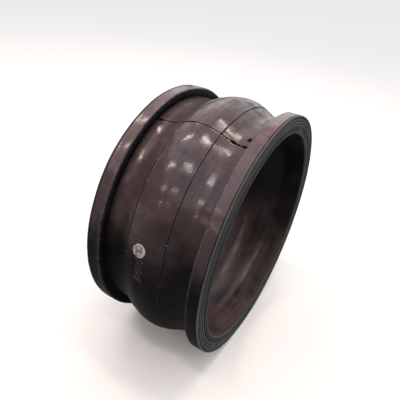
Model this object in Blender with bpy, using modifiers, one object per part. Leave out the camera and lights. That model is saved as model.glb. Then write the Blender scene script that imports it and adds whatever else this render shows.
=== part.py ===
"""Large rubber expansion joint: one arch between two flanged beads with grooved sealing faces.

The bore runs along X, with end A at -X and end B at +X. +Z is up. The joint stands on its two rims, and
the origin is on the floor, straight below the middle of the bore. All lengths are in metres.
"""
import math

import bmesh
import bpy
from mathutils import Matrix

# Driving dimensions across the pipe
BORE_RADIUS = 0.392
NECK_WALL = 0.029          # bore to the neck's outside, where a split steel flange would sit
RIM_HEIGHT = 0.034         # neck's outside to the rim's outside
CROWN_PROUD = 0.0055       # how far the arch's crown stands proud of the rims
CROWN_WALL = 0.020         # wall of the arch at its crown

# Driving dimensions along the pipe
ARCH_HALF = 0.1365         # middle of the joint to the arch's foot
NECK_LENGTH = 0.0325       # arch's foot to the rim
RIM_WIDTH = 0.048
MOULD_LINE = 0.068         # middle of the joint to each mould line, where crown and flank meet
ARCH_LAP = 0.006           # how far the arch's own rubber laps onto the neck
ARCH_FULLNESS = 1.12       # 1 makes the arch a plain cosine wave, and more makes its crown broader

# Layers of the wall
TUBE = 0.005               # inner rubber
PLIES = 0.006              # nylon cord plies
FACE = 0.007               # rubber of the sealing face
RIM_COVER = 0.008          # rubber round the rim
CORE_WIDTH = 0.016         # steel bead wire bundle, along the pipe
CORE_HEIGHT = 0.016        # and across it
CORE_CORNER = 0.0045       # cut off each corner of the bundle

# Sealing grooves in each face
GROOVE_COUNT = 4
GROOVE_INSET = 0.0095      # rim's outside to the first groove's middle
GROOVE_PITCH = 0.0096
GROOVE_WIDTH = 0.0034
GROOVE_DEPTH = 0.0020

# Blank identity disc let into the crown
DISC_RADIUS = 0.022
DISC_X = -0.0075
DISC_ANGLE = math.radians(166.4)   # from +Y towards +Z
DISC_INSET = 0.0065                # depth of its seat below the crown
DISC_PROUD = 0.0015                # its face above the crown

GAP = 0.0003               # between pieces that touch
FACETS = 36                # sides of each ring; a multiple of 4 lays one side flat on the floor
DISC_SIDES = 24
FLANK_STEPS = 2
CROWN_STEPS = 2

# Worked out from the above
NECK_RADIUS = BORE_RADIUS + NECK_WALL
RIM_RADIUS = NECK_RADIUS + RIM_HEIGHT
CROWN_RADIUS = RIM_RADIUS + CROWN_PROUD
FACE_X = ARCH_HALF + NECK_LENGTH + RIM_WIDTH
RIM_X = FACE_X - RIM_WIDTH
END_X = ARCH_HALF + ARCH_LAP
AXIS_HEIGHT = RIM_RADIUS * math.cos(math.pi / FACETS)
PLY_INNER = BORE_RADIUS + TUBE + GAP          # in the neck
PLY_OUTER = PLY_INNER + PLIES

RUBBER_BLACK = (0.022, 0.019, 0.021, 1.0)
RUBBER_GREY = (0.040, 0.040, 0.038, 1.0)
TUBE_BLACK = (0.018, 0.015, 0.015, 1.0)
CORD_BROWN = (0.130, 0.105, 0.080, 1.0)
STEEL = (0.420, 0.400, 0.370, 1.0)
DISC_GREY = (0.330, 0.340, 0.340, 1.0)


def clear_scene():
    for obj in list(bpy.data.objects):
        bpy.data.objects.remove(obj, do_unlink=True)


def new_collection(name):
    collection = bpy.data.collections.new(name)
    bpy.context.scene.collection.children.link(collection)
    return collection


def new_material(name, colour, roughness, metallic=0.0):
    material = bpy.data.materials.new(name)
    material.use_nodes = True
    shader = material.node_tree.nodes["Principled BSDF"]
    shader.inputs["Base Color"].default_value = colour
    shader.inputs["Roughness"].default_value = roughness
    shader.inputs["Metallic"].default_value = metallic
    return material


def new_body(name):
    """An empty at the middle of the bore, where both of the joint's tilt axes cross."""
    body = bpy.data.objects.new(name, None)
    body.location = (0.0, 0.0, AXIS_HEIGHT)
    parts.objects.link(body)
    return body


def ring_placement():
    """Turns a ring made about local Z to lie about X, with one flat side straight down."""
    return Matrix.Rotation(math.pi / 2, 4, "Y") @ Matrix.Rotation(math.pi / FACETS, 4, "Z")


def add_ring(name, section, side, body, look):
    """Turn a closed section of (distance along the pipe, radius) points round the bore.

    The section is drawn for end B: its outer side runs towards the middle of the joint, and its inner
    side runs back to the face. For end A it is mirrored and reversed.
    """
    points = section if side > 0 else [(-x, radius) for x, radius in reversed(section)]
    mesh = bpy.data.meshes.new(name)
    vertices = [(radius, 0.0, x) for x, radius in points]
    edges = [(i, (i + 1) % len(points)) for i in range(len(points))]
    mesh.from_pydata(vertices, edges, [])
    ring = bpy.data.objects.new(name, mesh)
    parts.objects.link(ring)
    ring.parent = body
    ring.matrix_local = ring_placement()
    ring.data.materials.append(look)
    screw = ring.modifiers.new("turn", "SCREW")
    screw.axis = "Z"
    screw.angle = 2 * math.pi
    screw.steps = FACETS
    screw.render_steps = FACETS
    screw.use_merge_vertices = True
    screw.merge_threshold = 0.0001
    screw.use_smooth_shade = True
    return ring


def cut(ring, cutter):
    boolean = ring.modifiers.new("cut " + cutter.name, "BOOLEAN")
    boolean.operation = "DIFFERENCE"
    boolean.solver = "EXACT"
    boolean.object = cutter


def arch_rise(x):
    """Share of the arch's height at a distance along the pipe: 1 at the crown, 0 from the foot on."""
    share = min(abs(x) / ARCH_HALF, 1.0)
    return (1.0 + math.cos(math.pi * share ** ARCH_FULLNESS)) / 2.0


def outer_radius(x):
    return NECK_RADIUS + (CROWN_RADIUS - NECK_RADIUS) * arch_rise(x)


def inner_radius(x):
    return BORE_RADIUS + (CROWN_RADIUS - CROWN_WALL - BORE_RADIUS) * arch_rise(x)


def ply_inner_radius(x):
    return inner_radius(x) + TUBE + GAP


def cover_inner_radius(x):
    return ply_inner_radius(x) + PLIES + GAP


def layer_section(near, far, steps, inner, outer):
    """One layer of the arch between two distances from the middle of the joint."""
    stations = [far + (near - far) * i / steps for i in range(steps + 1)]
    top = [(x, outer(x)) for x in stations]
    underside = [(x, inner(x)) for x in reversed(stations)]
    return top + underside


def add_arch_layers(zone, near, far, steps, side, body):
    """Tube, plies and cover of one zone of the arch; returns the cover."""
    tube = layer_section(near, far, steps, inner_radius, lambda x: inner_radius(x) + TUBE)
    plies = layer_section(near, far, steps, ply_inner_radius, lambda x: ply_inner_radius(x) + PLIES)
    cover = layer_section(near, far, steps, cover_inner_radius, outer_radius)
    add_ring(zone + "_tube", tube, side, body, tube_rubber)
    add_ring(zone + "_plies", plies, side, body, ply_cord)
    return add_ring(zone + "_cover", cover, side, body, cover_rubber)


def groove_points():
    """The face from the bore to the rim, with V grooves between flat lands."""
    points = []
    for i in reversed(range(GROOVE_COUNT)):
        middle = RIM_RADIUS - GROOVE_INSET - i * GROOVE_PITCH
        points.append((FACE_X, middle - GROOVE_WIDTH / 2))
        points.append((FACE_X - GROOVE_DEPTH, middle))
        points.append((FACE_X, middle + GROOVE_WIDTH / 2))
    return points


def add_lining(end, side, body):
    """Tube rubber through the neck and the bead, and the grooved face rubber that it meets."""
    back = FACE_X - FACE
    face = [
        (FACE_X, RIM_RADIUS),
        (back, RIM_RADIUS),
        (back, BORE_RADIUS),
        (FACE_X, BORE_RADIUS),
    ]
    add_ring(end + "_sealing_face", face + groove_points(), side, body, face_rubber)
    tube = [
        (back - GAP, BORE_RADIUS + TUBE),
        (END_X, BORE_RADIUS + TUBE),
        (END_X, BORE_RADIUS),
        (back - GAP, BORE_RADIUS),
    ]
    add_ring(end + "_tube", tube, side, body, tube_rubber)


def add_bead(end, side, body):
    """Steel core, filler round it, and the cord plies turned up round both."""
    ply_face = FACE_X - FACE - GAP
    turn_up = RIM_RADIUS - RIM_COVER - GAP
    ply_end = RIM_X + RIM_COVER + GAP
    plies = [
        (ply_face, turn_up),
        (ply_end, turn_up),
        (ply_end, turn_up - PLIES),
        (ply_face - PLIES, turn_up - PLIES),
        (ply_face - PLIES, PLY_OUTER),
        (END_X, PLY_OUTER),
        (END_X, PLY_INNER),
        (ply_face, PLY_INNER),
    ]
    add_ring(end + "_bead_plies", plies, side, body, ply_cord)

    pocket_face = ply_face - PLIES - GAP
    pocket_top = turn_up - PLIES - GAP
    pocket_floor = PLY_OUTER + GAP
    middle = (pocket_top + pocket_floor) / 2
    core_top = middle + CORE_HEIGHT / 2
    core_floor = middle - CORE_HEIGHT / 2
    core_back = pocket_face - CORE_WIDTH
    core = [
        (pocket_face - CORE_CORNER, core_top),
        (core_back + CORE_CORNER, core_top),
        (core_back, core_top - CORE_CORNER),
        (core_back, core_floor + CORE_CORNER),
        (core_back + CORE_CORNER, core_floor),
        (pocket_face - CORE_CORNER, core_floor),
        (pocket_face, core_floor + CORE_CORNER),
        (pocket_face, core_top - CORE_CORNER),
    ]
    add_ring(end + "_bead_core", core, side, body, core_steel)

    filler = [
        (pocket_face, pocket_top),
        (ply_end, pocket_top),
        (ply_end, pocket_floor),
        (pocket_face, pocket_floor),
        (pocket_face, core_floor - GAP),
        (core_back - GAP, core_floor - GAP),
        (core_back - GAP, core_top + GAP),
        (pocket_face, core_top + GAP),
    ]
    add_ring(end + "_bead_filler", filler, side, body, filler_rubber)


def add_covers(end, side, body):
    """Cover rubber of the neck, and round the rim that stands on it."""
    front = FACE_X - FACE - GAP
    inner_wall = RIM_X + RIM_COVER
    foot = PLY_OUTER + GAP
    rim = [
        (front, RIM_RADIUS),
        (RIM_X, RIM_RADIUS),
        (RIM_X, NECK_RADIUS + GAP),
        (inner_wall, NECK_RADIUS + GAP),
        (inner_wall, RIM_RADIUS - RIM_COVER),
        (front, RIM_RADIUS - RIM_COVER),
    ]
    add_ring(end + "_rim_cover", rim, side, body, cover_rubber)
    neck = [
        (inner_wall, NECK_RADIUS),
        (END_X, NECK_RADIUS),
        (END_X, foot),
        (inner_wall, foot),
    ]
    add_ring(end + "_neck_cover", neck, side, body, cover_rubber)


def disc_placement(radius):
    """A frame whose Z points out of the crown where the identity disc is let in."""
    place = Matrix.Translation((DISC_X, 0.0, AXIS_HEIGHT))
    turn = Matrix.Rotation(DISC_ANGLE - math.pi / 2, 4, "X")
    return place @ turn @ Matrix.Translation((0.0, 0.0, radius))


def add_cylinder(name, radius, depth, place, collection):
    """A cylinder whose top is at the given frame's origin."""
    mesh = bpy.data.meshes.new(name)
    bm = bmesh.new()
    bmesh.ops.create_cone(bm, cap_ends=True, segments=DISC_SIDES, radius1=radius, radius2=radius,
                          depth=depth, matrix=Matrix.Translation((0.0, 0.0, -depth / 2)))
    bm.to_mesh(mesh)
    bm.free()
    cylinder = bpy.data.objects.new(name, mesh)
    cylinder.matrix_world = place
    collection.objects.link(cylinder)
    return cylinder


def hide_cutter(cutter):
    cutter.hide_render = True
    cutter.display_type = "WIRE"


def add_floor_cutter():
    """A slab below the floor: the crown is pressed flat where the joint's weight lies on it."""
    mesh = bpy.data.meshes.new("floor")
    bm = bmesh.new()
    bmesh.ops.create_cube(bm, size=1.0)
    bmesh.ops.scale(bm, vec=(4 * END_X, 2 * CROWN_RADIUS, 4 * CROWN_WALL), verts=bm.verts)
    bmesh.ops.translate(bm, vec=(0.0, 0.0, -2 * CROWN_WALL), verts=bm.verts)
    bm.to_mesh(mesh)
    bm.free()
    floor = bpy.data.objects.new("floor", mesh)
    cutters.objects.link(floor)
    hide_cutter(floor)
    return floor


def add_identity_disc(body):
    """The blank disc, and the cutter for its seat."""
    top = CROWN_RADIUS + DISC_PROUD
    depth = DISC_INSET + DISC_PROUD
    disc = add_cylinder("identity_disc", DISC_RADIUS, depth, disc_placement(top), parts)
    disc.data.materials.append(disc_metal)
    disc.parent = body
    disc.matrix_parent_inverse = Matrix.Translation((0.0, 0.0, -AXIS_HEIGHT))
    seat = add_cylinder("disc_seat", DISC_RADIUS + GAP, depth + GAP, disc_placement(top), cutters)
    hide_cutter(seat)
    return seat


clear_scene()
parts = new_collection("rubber_expansion_joint")
cutters = new_collection("cutters")

cover_rubber = new_material("cover_rubber", RUBBER_BLACK, 0.55)
face_rubber = new_material("face_rubber", RUBBER_GREY, 0.70)
tube_rubber = new_material("tube_rubber", TUBE_BLACK, 0.45)
filler_rubber = new_material("filler_rubber", TUBE_BLACK, 0.80)
ply_cord = new_material("ply_cord", CORD_BROWN, 0.90)
core_steel = new_material("core_steel", STEEL, 0.40, metallic=1.0)
disc_metal = new_material("disc_metal", DISC_GREY, 0.50, metallic=0.6)

floor = add_floor_cutter()
crown_a = new_body("crown_a")
crown_b = new_body("crown_b")
disc_seat = add_identity_disc(crown_a)

for side, letter, crown in ((-1, "a", crown_a), (1, "b", crown_b)):
    end = new_body("end_" + letter)
    flank = new_body("flank_" + letter)
    add_lining("end_" + letter, side, end)
    add_bead("end_" + letter, side, end)
    add_covers("end_" + letter, side, end)
    flank_cover = add_arch_layers("flank_" + letter, MOULD_LINE + GAP / 2, END_X - GAP, FLANK_STEPS,
                                  side, flank)
    crown_cover = add_arch_layers("crown_" + letter, GAP / 2, MOULD_LINE - GAP / 2, CROWN_STEPS,
                                  side, crown)
    cut(flank_cover, floor)
    cut(crown_cover, floor)
    cut(crown_cover, disc_seat)
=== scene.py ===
"""Looks of a large rubber expansion joint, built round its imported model.

The bore runs along X, and angles go round it from +Y towards +Z. The rubber arch is turned in five bend
zones, one for each joint, and each zone has three layers: lining, cord plies and cover.
"""

import math

import bmesh
import bpy
import numpy as np
from mathutils import Matrix, Vector


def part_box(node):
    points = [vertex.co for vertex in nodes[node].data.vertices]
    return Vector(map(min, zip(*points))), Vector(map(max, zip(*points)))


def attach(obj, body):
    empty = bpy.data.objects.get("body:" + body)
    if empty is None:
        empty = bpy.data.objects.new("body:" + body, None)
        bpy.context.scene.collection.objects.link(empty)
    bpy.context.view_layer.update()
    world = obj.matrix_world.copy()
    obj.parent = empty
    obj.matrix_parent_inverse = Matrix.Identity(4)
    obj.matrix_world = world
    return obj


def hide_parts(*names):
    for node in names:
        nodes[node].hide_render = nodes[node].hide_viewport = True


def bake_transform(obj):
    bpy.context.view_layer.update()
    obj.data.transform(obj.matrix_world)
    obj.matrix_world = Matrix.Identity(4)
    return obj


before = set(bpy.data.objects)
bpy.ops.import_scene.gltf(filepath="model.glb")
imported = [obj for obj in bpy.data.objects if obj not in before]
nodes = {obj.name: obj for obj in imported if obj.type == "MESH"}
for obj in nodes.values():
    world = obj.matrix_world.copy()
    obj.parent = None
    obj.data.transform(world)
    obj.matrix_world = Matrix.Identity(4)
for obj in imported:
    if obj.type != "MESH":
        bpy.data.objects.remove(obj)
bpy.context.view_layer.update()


# ---------------- sizes, from the frame

def node_corners(node):
    return np.array([v.co for v in nodes[node].data.vertices], float)


def ring_radii(node):
    """Smallest and largest distance of a ring's corners from the bore's axis."""
    corners = node_corners(node)
    radii = np.hypot(corners[:, 1], corners[:, 2] - AXIS_HEIGHT)
    return float(radii.min()), float(radii.max())


rim_low, rim_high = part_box("end_b_rim_cover")
face_low, face_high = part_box("end_b_sealing_face")
AXIS_HEIGHT = (rim_low.z + rim_high.z) / 2
RIM_X = rim_low.x
FACE_X = face_high.x
FACE_BACK = face_low.x
END_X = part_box("end_b_neck_cover")[0].x
MOULD_LINE = (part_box("crown_b_cover")[1].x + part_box("flank_b_cover")[0].x) / 2
BORE_RADIUS, TUBE_OUTER = ring_radii("end_b_tube")
NECK_RADIUS = ring_radii("end_b_neck_cover")[1]
RIM_RADIUS = ring_radii("end_b_rim_cover")[1]
CROWN_RADIUS = ring_radii("crown_b_cover")[1]
TUBE = TUBE_OUTER - BORE_RADIUS
GAP = 0.0003
ARCH_LAP = 0.006
ARCH_HALF = END_X - ARCH_LAP
ARCH_FULLNESS = 1.12
CROWN_INNER = ring_radii("crown_b_tube")[1] - TUBE
PLIES = ring_radii("crown_b_plies")[1] - CROWN_INNER - TUBE - GAP

BEND_EDGES = np.linspace(-END_X, END_X, 6)

# Marks of the mould
HALF_SEAM = math.radians(111.1)      # where the mould's halves meet; the other seam is opposite
MISMATCH_OUT = 0.0011                # the back half stands this much proud of the front one
MISMATCH_ALONG = 0.0012              # and is shifted this much along the pipe
FLASH_HEIGHT = 0.0010
FLASH_WIDTH = 0.0012
FLASH_OFFSET = 0.0022                # from the mould line to its ridge
LEFT_FLASH = 1.5                     # the left mould line is the rougher one
LEFT_FLASH_OFFSET = FLASH_OFFSET * 1.7
DITCH_WIDTH = 0.0012
LEFT_DITCH_WIDTH = DITCH_WIDTH * 2.2
DITCH_DEPTH = 0.0010
SEAM_DEPTH = 0.0016
SEAM_WIDTH = 0.0013
LIP_HEIGHT = 0.0005
BLACK_NICK = 0.0014                  # nicks are painted black by their depth, as painted shade; one this deep is quite black


# ---------------- shapes

def smoothstep(value, low, high):
    t = np.clip((value - low) / (high - low), 0.0, 1.0)
    return t * t * (3.0 - 2.0 * t)


def hump(distance, width):
    return np.exp(-(distance / width) ** 2)


def arch_rise(x):
    share = np.minimum(np.abs(x) / ARCH_HALF, 1.0)
    return (1.0 + np.cos(np.pi * share ** ARCH_FULLNESS)) / 2.0


def cover_radius(x):
    return NECK_RADIUS + (CROWN_RADIUS - NECK_RADIUS) * arch_rise(x)


def lining_radius(x):
    return BORE_RADIUS + (CROWN_INNER - BORE_RADIUS) * arch_rise(x)


def ripple(x, theta, seed, height, turns, length, waves=20):
    """Soft random waviness that closes round the bore, as a sum of seeded sine waves."""
    draw = np.random.RandomState(seed)
    total = np.zeros(np.broadcast(x, theta).shape)
    for _ in range(waves):
        around = draw.randint(-turns, turns + 1)
        along = draw.uniform(-2.0, 2.0) * math.pi / length
        total += np.sin(around * theta + along * x + draw.uniform(0.0, 2.0 * math.pi))
    return height * total / math.sqrt(waves / 2.0)


def turn_from(theta, seam):
    """Angle from a seam, between minus and plus half a turn."""
    return (theta - seam + math.pi) % (2.0 * math.pi) - math.pi


def seam_distance(theta):
    """Angle to the nearer seam between the mould's halves."""
    return np.minimum(np.abs(turn_from(theta, HALF_SEAM)), np.abs(turn_from(theta, HALF_SEAM + math.pi)))


def around_the_bore():
    """Angles of the columns: even ones, with closer ones at the mould's seams and nicks."""
    degrees = [np.arange(0.0, 360.0, 0.8), np.arange(103.0, 114.0, 0.2)]
    for seam in (math.degrees(HALF_SEAM), math.degrees(HALF_SEAM) + 180.0):
        degrees.append(seam + np.arange(-0.8, 0.81, 0.05))
    columns = np.unique(np.round(np.concatenate(degrees), 3))
    wide_enough = np.concatenate([[True], np.diff(columns) > 0.03])
    return np.radians(columns[wide_enough])


def mould_half(theta):
    """1 on the mould's back half, 0 on its front half, with a step at each seam."""
    first = turn_from(theta, HALF_SEAM)
    second = turn_from(theta, HALF_SEAM + math.pi)
    step = math.radians(0.12)
    return np.where(np.abs(first) < np.abs(second), 1.0 - smoothstep(first, -step, step),
                    smoothstep(second, -step, step))


NICKS = (                            # (distance along, angle, half length along, half width, depth)
    (0.1090, 111.1, 0.0070, 0.0046, 0.0040),
    (0.1260, 111.3, 0.0040, 0.0022, 0.0026),
    (0.1455, 111.0, 0.0050, 0.0044, 0.0038),
    (0.1445, 106.2, 0.0050, 0.0080, 0.0040),
    (-0.1620, 111.6, 0.0060, 0.0040, 0.0036),
    (-0.0690, 102.6, 0.0035, 0.0020, 0.0016),
    (-0.0300, 111.3, 0.0030, 0.0018, 0.0014),
)


def seam_marks(x, theta):
    """Share of ridge, ditch, half seam and its lips at each place, and the depth of the nicks."""
    shift = MISMATCH_ALONG * mould_half(theta)
    uneven = 0.78 + ripple(x * 0.0, theta, 11, 0.16, 60, 1.0)
    right, left = x - shift - MOULD_LINE, x - shift + MOULD_LINE
    flash = hump(right + FLASH_OFFSET, FLASH_WIDTH)
    flash = (flash + LEFT_FLASH * hump(left - LEFT_FLASH_OFFSET, FLASH_WIDTH)) * uneven
    ditch = hump(right, DITCH_WIDTH) + hump(left, LEFT_DITCH_WIDTH)
    ditch = ditch * (0.85 + 0.15 * mould_half(theta))
    across = seam_distance(theta) * CROWN_RADIUS
    strength = 0.62 + 0.38 * smoothstep(np.abs(x), 0.070, 0.120) + ripple(x, theta * 0.0, 5, 0.10, 0, 0.05)
    split = hump(across, SEAM_WIDTH) * strength
    lips = hump(across - 0.0032, 0.0018) * strength
    nick = np.zeros_like(split)
    for place, angle, length, width, depth in NICKS:
        offset = turn_from(theta, math.radians(angle)) * CROWN_RADIUS
        nick = np.maximum(nick, depth * np.exp(-((x - place) / length) ** 2 - (offset / width) ** 2))
    return flash, ditch, split, lips, nick


def mould_relief(x, theta):
    """Height of the moulded surface over the plain arch and neck."""
    flash, ditch, split, lips, nick = seam_marks(x, theta)
    relief = FLASH_HEIGHT * flash - DITCH_DEPTH * ditch - SEAM_DEPTH * split + LIP_HEIGHT * lips - nick
    relief = relief + MISMATCH_OUT * (mould_half(theta) - 0.5)
    return relief + ripple(x, theta, 3, 0.00045, 16, 0.16) + ripple(x, theta, 4, 0.00012, 70, 0.05)


def floor_press(z):
    """The floor stops the rubber: what would lie below it is pressed flat."""
    softness = 0.0010
    return (z + np.sqrt(z * z + softness * softness)) / 2.0


def arc(centre_x, centre_r, radius, start, stop, steps=7):
    """Points on an arc in the section, angles in degrees from +X towards the outside."""
    angles = np.radians(np.linspace(start, stop, steps))
    return [(centre_x + radius * math.cos(a), centre_r + radius * math.sin(a)) for a in angles]


def split_long(points, longest):
    """A run of section points with its long edges divided; the last point is left off."""
    result = []
    for (x0, r0), (x1, r1) in zip(points, points[1:]):
        parts = max(1, math.ceil(math.hypot(x1 - x0, r1 - r0) / longest))
        result += [(x0 + (x1 - x0) * i / parts, r0 + (r1 - r0) * i / parts) for i in range(parts)]
    return result


def new_object(name, data):
    thing = bpy.data.objects.new(name, data)
    bpy.context.scene.collection.objects.link(thing)
    return thing


def smooth(mesh, sharp_from=40):
    mesh.shade_smooth()
    mesh.set_sharp_from_angle(angle=math.radians(sharp_from))


def turned(name, section, theta, relief=None, paint=None):
    """Turn a closed section of (x, radius) points round the bore into a closed mesh.

    relief(x, radius, theta) gives the finished x and radius, and paint(x, radius, theta) gives
    values from 0 to 1 by name, which the materials read as attributes.
    """
    section = np.array(section, float)
    after = np.roll(section, -1, axis=0)
    area = (section[:, 0] * after[:, 1] - after[:, 0] * section[:, 1]).sum()
    if area < 0:
        section = section[::-1]
    x = np.repeat(section[:, :1], len(theta), axis=1)
    radius = np.repeat(section[:, 1:], len(theta), axis=1)
    angle = np.repeat(theta[None, :], len(section), axis=0)
    painted = paint(x, radius, angle) if paint else {}
    if relief:
        x, radius = relief(x, radius, angle)
    z = floor_press(AXIS_HEIGHT + radius * np.sin(angle))
    co = np.stack([x, radius * np.cos(angle), z], axis=-1).reshape(-1, 3)
    rows, columns = len(section), len(theta)
    i, j = np.meshgrid(np.arange(rows), np.arange(columns), indexing="ij")
    below, beside = (i + 1) % rows, (j + 1) % columns
    quads = np.stack([i * columns + j, below * columns + j, below * columns + beside,
                      i * columns + beside], axis=-1).reshape(-1, 4)
    mesh = bpy.data.meshes.new(name)
    mesh.from_pydata(co.tolist(), [], quads.tolist())
    for key, values in painted.items():
        attribute = mesh.attributes.new(key, "FLOAT", "POINT")
        attribute.data.foreach_set("value", values.astype(np.float32).ravel())
    smooth(mesh)
    return new_object(name, mesh)


# ---------------- node trees

def feed(tree, socket, value):
    """Link a socket to another one or to a node's first output, or set its value."""
    if isinstance(value, bpy.types.Node):
        value = value.outputs[0]
    if isinstance(value, bpy.types.NodeSocket):
        tree.links.new(value, socket)
    else:
        socket.default_value = value


def new_node(tree, kind, *inputs, **settings):
    """Add a node, set its properties, and feed its inputs: a value is set, a socket is linked."""
    node = tree.nodes.new(kind)
    for key, value in settings.items():
        setattr(node, key, value)
    for key, value in inputs:
        feed(tree, node.inputs[key], value)
    return node


def noise(tree, vector, scale, detail, roughness):
    node = new_node(tree, "ShaderNodeTexNoise", ("Vector", vector), ("Scale", scale), ("Detail", detail),
                    ("Roughness", roughness))
    return node.outputs["Fac"]


def stretch(tree, vector, along, around):
    """Object coordinates scaled along the pipe and across it."""
    node = new_node(tree, "ShaderNodeMapping", ("Vector", vector), ("Scale", (along, around, around)))
    return node.outputs["Vector"]


def spread(tree, value, low, high, to_low=0.0, to_high=1.0):
    node = new_node(tree, "ShaderNodeMapRange", ("Value", value), ("From Min", low), ("From Max", high),
                    ("To Min", to_low), ("To Max", to_high), interpolation_type="SMOOTHSTEP")
    return node.outputs["Result"]


def calc(tree, operation, first, second=0.0):
    node = new_node(tree, "ShaderNodeMath", (0, first), (1, second), operation=operation)
    return node.outputs[0]


def times(tree, first, second):
    return calc(tree, "MULTIPLY", first, second)


def plus(tree, first, second):
    return calc(tree, "ADD", first, second)


def minus(tree, first, second):
    return calc(tree, "SUBTRACT", first, second)


def mixed(tree, share, first, second):
    """Mix two colours, each a socket or (red, green, blue)."""
    node = new_node(tree, "ShaderNodeMix", ("Factor", share), data_type="RGBA")
    for key, value in ((6, first), (7, second)):
        feed(tree, node.inputs[key], (*value, 1.0) if isinstance(value, tuple) else value)
    return node.outputs[2]


def over(tree, base, mask, amount, colour):
    """Lay a colour over the base, as much as a mask and an amount together say."""
    return mixed(tree, times(tree, mask, amount), base, colour)


def object_place(tree):
    return tree.nodes.new("ShaderNodeTexCoord").outputs["Object"]


def new_group(name, inputs, outputs):
    """An empty shader group with named inputs (name, default) and named outputs."""
    group = bpy.data.node_groups.new(name, "ShaderNodeTree")
    for label, default in inputs:
        socket = group.interface.new_socket(label, in_out="INPUT", socket_type="NodeSocketFloat")
        socket.default_value = default
    for label in outputs:
        group.interface.new_socket(label, in_out="OUTPUT", socket_type="NodeSocketFloat")
    return group, group.nodes.new("NodeGroupInput").outputs, group.nodes.new("NodeGroupOutput").inputs


def make_grain_group():
    """Fine grain of a moulded rubber skin, and the slow blotches of its cure."""
    group, given, result = new_group("moulded_grain", [("Grain Scale", 260.0), ("Blotch Scale", 9.0)],
                                     ["Height", "Blotch"])
    place = object_place(group)
    fine = noise(group, place, given["Grain Scale"], 6.0, 0.6)
    half_scale = times(group, given["Grain Scale"], 0.22)
    pebble = noise(group, place, half_scale, 3.0, 0.5)
    height = plus(group, times(group, fine, 0.45), times(group, pebble, 0.55))
    blotch = noise(group, place, given["Blotch Scale"], 5.0, 0.62)
    group.links.new(height, result["Height"])
    group.links.new(spread(group, blotch, 0.36, 0.66), result["Blotch"])
    return group


def make_streak_group():
    """Wipe marks and flow lines that run round the bore, and fainter ones along it."""
    group, given, result = new_group("flow_streaks", [("Fineness", 1.0)], ["Round", "Along"])
    scaled = new_node(group, "ShaderNodeVectorMath", (0, object_place(group)), ("Scale", given["Fineness"]),
                      operation="SCALE")
    round_bore = noise(group, stretch(group, scaled.outputs[0], 95.0, 3.0), 1.0, 5.0, 0.6)
    along_pipe = noise(group, stretch(group, scaled.outputs[0], 3.5, 48.0), 1.0, 5.0, 0.65)
    group.links.new(spread(group, round_bore, 0.40, 0.68), result["Round"])
    group.links.new(spread(group, along_pipe, 0.46, 0.72), result["Along"])
    return group


def make_dust_and_top_light_group():
    """How far a place faces up, which the materials use to paint faces that look up lighter and those that
    look down darker, as painted light and shade, and dust that gathers in patches on those upward faces.
    """
    group, given, result = new_group("settled_bloom", [("Patch Scale", 14.0), ("Evenness", 0.4)],
                                     ["Upward", "Bloom"])
    place = object_place(group)
    normal = group.nodes.new("ShaderNodeNewGeometry").outputs["Normal"]
    level = new_node(group, "ShaderNodeSeparateXYZ", (0, normal)).outputs["Z"]
    waver = times(group, minus(group, noise(group, place, 6.0, 4.0, 0.6), 0.5), 0.5)
    # Share of facing up: colour laid by it is painted light on top and painted shade below.
    upward = spread(group, plus(group, level, waver), 0.02, 0.86)
    patches = spread(group, noise(group, place, given["Patch Scale"], 6.0, 0.66), 0.36, 0.68)
    patches = calc(group, "MAXIMUM", patches, given["Evenness"])
    specks = spread(group, noise(group, place, 900.0, 2.0, 0.5), 0.42, 0.70, 0.60, 1.0)
    # Dust patches laid only where faces look up: real dust, and painted top light.
    dust_and_light = times(group, times(group, upward, patches), specks)
    group.links.new(upward, result["Upward"])
    group.links.new(dust_and_light, result["Bloom"])
    return group


def make_wear_and_highlight_group():
    """Lighter places: a painted mask of rubbed edges and painted highlights, broken up by small scuffs."""
    group, given, result = new_group("rubbed_edges", [("Edge", 0.0), ("Scuff Scale", 120.0)], ["Mask"])
    scuffs = noise(group, object_place(group), given["Scuff Scale"], 6.0, 0.7)
    scuffs = spread(group, scuffs, 0.40, 0.66, 0.15, 1.0)
    group.links.new(times(group, given["Edge"], scuffs), result["Mask"])
    return group


GRAIN = make_grain_group()
STREAKS = make_streak_group()
DUST_AND_TOP_LIGHT = make_dust_and_top_light_group()
WEAR_AND_HIGHLIGHT = make_wear_and_highlight_group()


def use_group(tree, group, **inputs):
    node = new_node(tree, "ShaderNodeGroup", node_tree=group)
    for label, value in inputs.items():
        feed(tree, node.inputs[label.replace("_", " ")], value)
    return node.outputs


def painted_value(tree, name):
    return new_node(tree, "ShaderNodeAttribute", attribute_name=name).outputs["Fac"]


def new_material(name, metallic=0.0, specular=0.5):
    material = bpy.data.materials.new(name)
    material.use_nodes = True
    tree = material.node_tree
    shader = tree.nodes["Principled BSDF"]
    shader.inputs["Metallic"].default_value = metallic
    shader.inputs["Specular IOR Level"].default_value = specular
    return material, tree, shader


def set_look(tree, shader, colour, roughness):
    tree.links.new(colour, shader.inputs["Base Color"])
    tree.links.new(roughness, shader.inputs["Roughness"])


def add_bump(tree, shader, height, depth):
    bump = new_node(tree, "ShaderNodeBump", ("Height", height), ("Distance", depth), ("Strength", 1.0))
    tree.links.new(bump.outputs["Normal"], shader.inputs["Normal"])


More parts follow.
